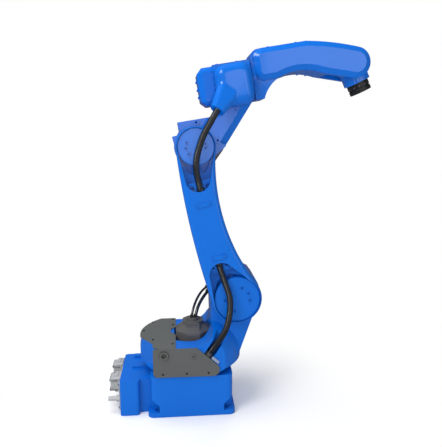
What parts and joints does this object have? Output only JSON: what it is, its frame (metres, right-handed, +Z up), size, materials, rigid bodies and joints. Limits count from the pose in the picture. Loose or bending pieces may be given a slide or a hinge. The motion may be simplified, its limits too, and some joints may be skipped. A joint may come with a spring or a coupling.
{
  "type": "six-axis industrial robot arm",
  "caption": "Floor-mounted articulated industrial robot arm with a swivelling turret, a curved lower arm, an arched forearm, a bending wrist and a bolted tool flange.",
  "frame": {"origin": "on the swivel axis at the underside of the foot", "axes": "+X forward over the reach of the arm, +Y to the robot's left, +Z up along the swivel axis"},
  "size_m": [1.0462, 0.4396, 1.4321],
  "materials": {
    "blue_paint": "semi-gloss",
    "cover_grey": "satin",
    "motor_black": "satin",
    "flange_dark": "satin",
    "conduit_rubber": "satin",
    "connector_metal": "satin",
    "bearing_steel": "satin",
    "bracket_zinc": "satin"
  },
  "bodies": {
    "base": {"base_casting": "blue_paint", "connector_panel": "connector_metal", "power_connector": "connector_metal", "signal_connector": "connector_metal", "air_fitting": "connector_metal", "swivel_bearing": "bearing_steel"},
    "turret": {"turret_casting": "blue_paint", "turret_top_cover": "cover_grey", "turret_side_cover": "cover_grey", "side_grommet": "conduit_rubber", "swivel_motor": "motor_black", "shoulder_motor": "motor_black", "power_lead": "conduit_rubber", "signal_lead": "conduit_rubber", "conduit_bracket": "bracket_zinc", "conduit_guard": "bracket_zinc", "shoulder_reducer": "bearing_steel", "lower_conduit": "conduit_rubber"},
    "lower_arm": {"lower_arm_casting": "blue_paint", "shoulder_disc": "blue_paint", "elbow_disc": "blue_paint", "lower_conduit_clamp": "blue_paint", "upper_conduit_clamp": "blue_paint", "lower_pad": "blue_paint", "upper_pad": "blue_paint", "upper_conduit": "conduit_rubber"},
    "elbow": {"elbow_casting": "blue_paint", "elbow_reducer": "bearing_steel", "elbow_motor": "motor_black", "roll_rear_cap": "blue_paint", "roll_cover": "blue_paint", "roll_bearing": "blue_paint"},
    "forearm": {"forearm_casting": "blue_paint", "near_forearm_cover": "blue_paint", "far_forearm_cover": "blue_paint"},
    "hand": {"hand_casting": "blue_paint", "hand_collar": "flange_dark"},
    "flange": {"tool_flange": "flange_dark"}
  },
  "joints": [
    {"name": "swivel", "type": "hinge", "parent": "base", "child": "turret", "pos_m": [0, 0, 0.175], "axis": [0, 0, 1], "range_deg": [-165, 165]},
    {"name": "shoulder", "type": "hinge", "parent": "turret", "child": "lower_arm", "pos_m": [0.177, 0, 0.472], "axis": [0, 1, 0], "range_deg": [-55, 110], "deforming": ["lower_conduit"]},
    {"name": "elbow", "type": "hinge", "parent": "lower_arm", "child": "elbow", "pos_m": [0.023, 0, 1.04673], "axis": [0, -1, 0], "range_deg": [-79.5, 80.5], "deforming": ["upper_conduit"]},
    {"name": "forearm_roll", "type": "hinge", "parent": "elbow", "child": "forearm", "pos_m": [-0.01116, 0, 1.25089], "axis": [0.9863, 0, 0.165], "range_deg": [-155, 155]},
    {"name": "wrist_bend", "type": "hinge", "parent": "forearm", "child": "hand", "pos_m": [0.62992, 0, 1.35817], "axis": [0, -1, 0], "range_deg": [-41.5, 188.5]},
    {"name": "flange_turn", "type": "hinge", "parent": "hand", "child": "flange", "pos_m": [0.67946, 0, 1.2566], "axis": [0.4384, 0, -0.8988], "range_deg": [-360, 360]}
  ]
}
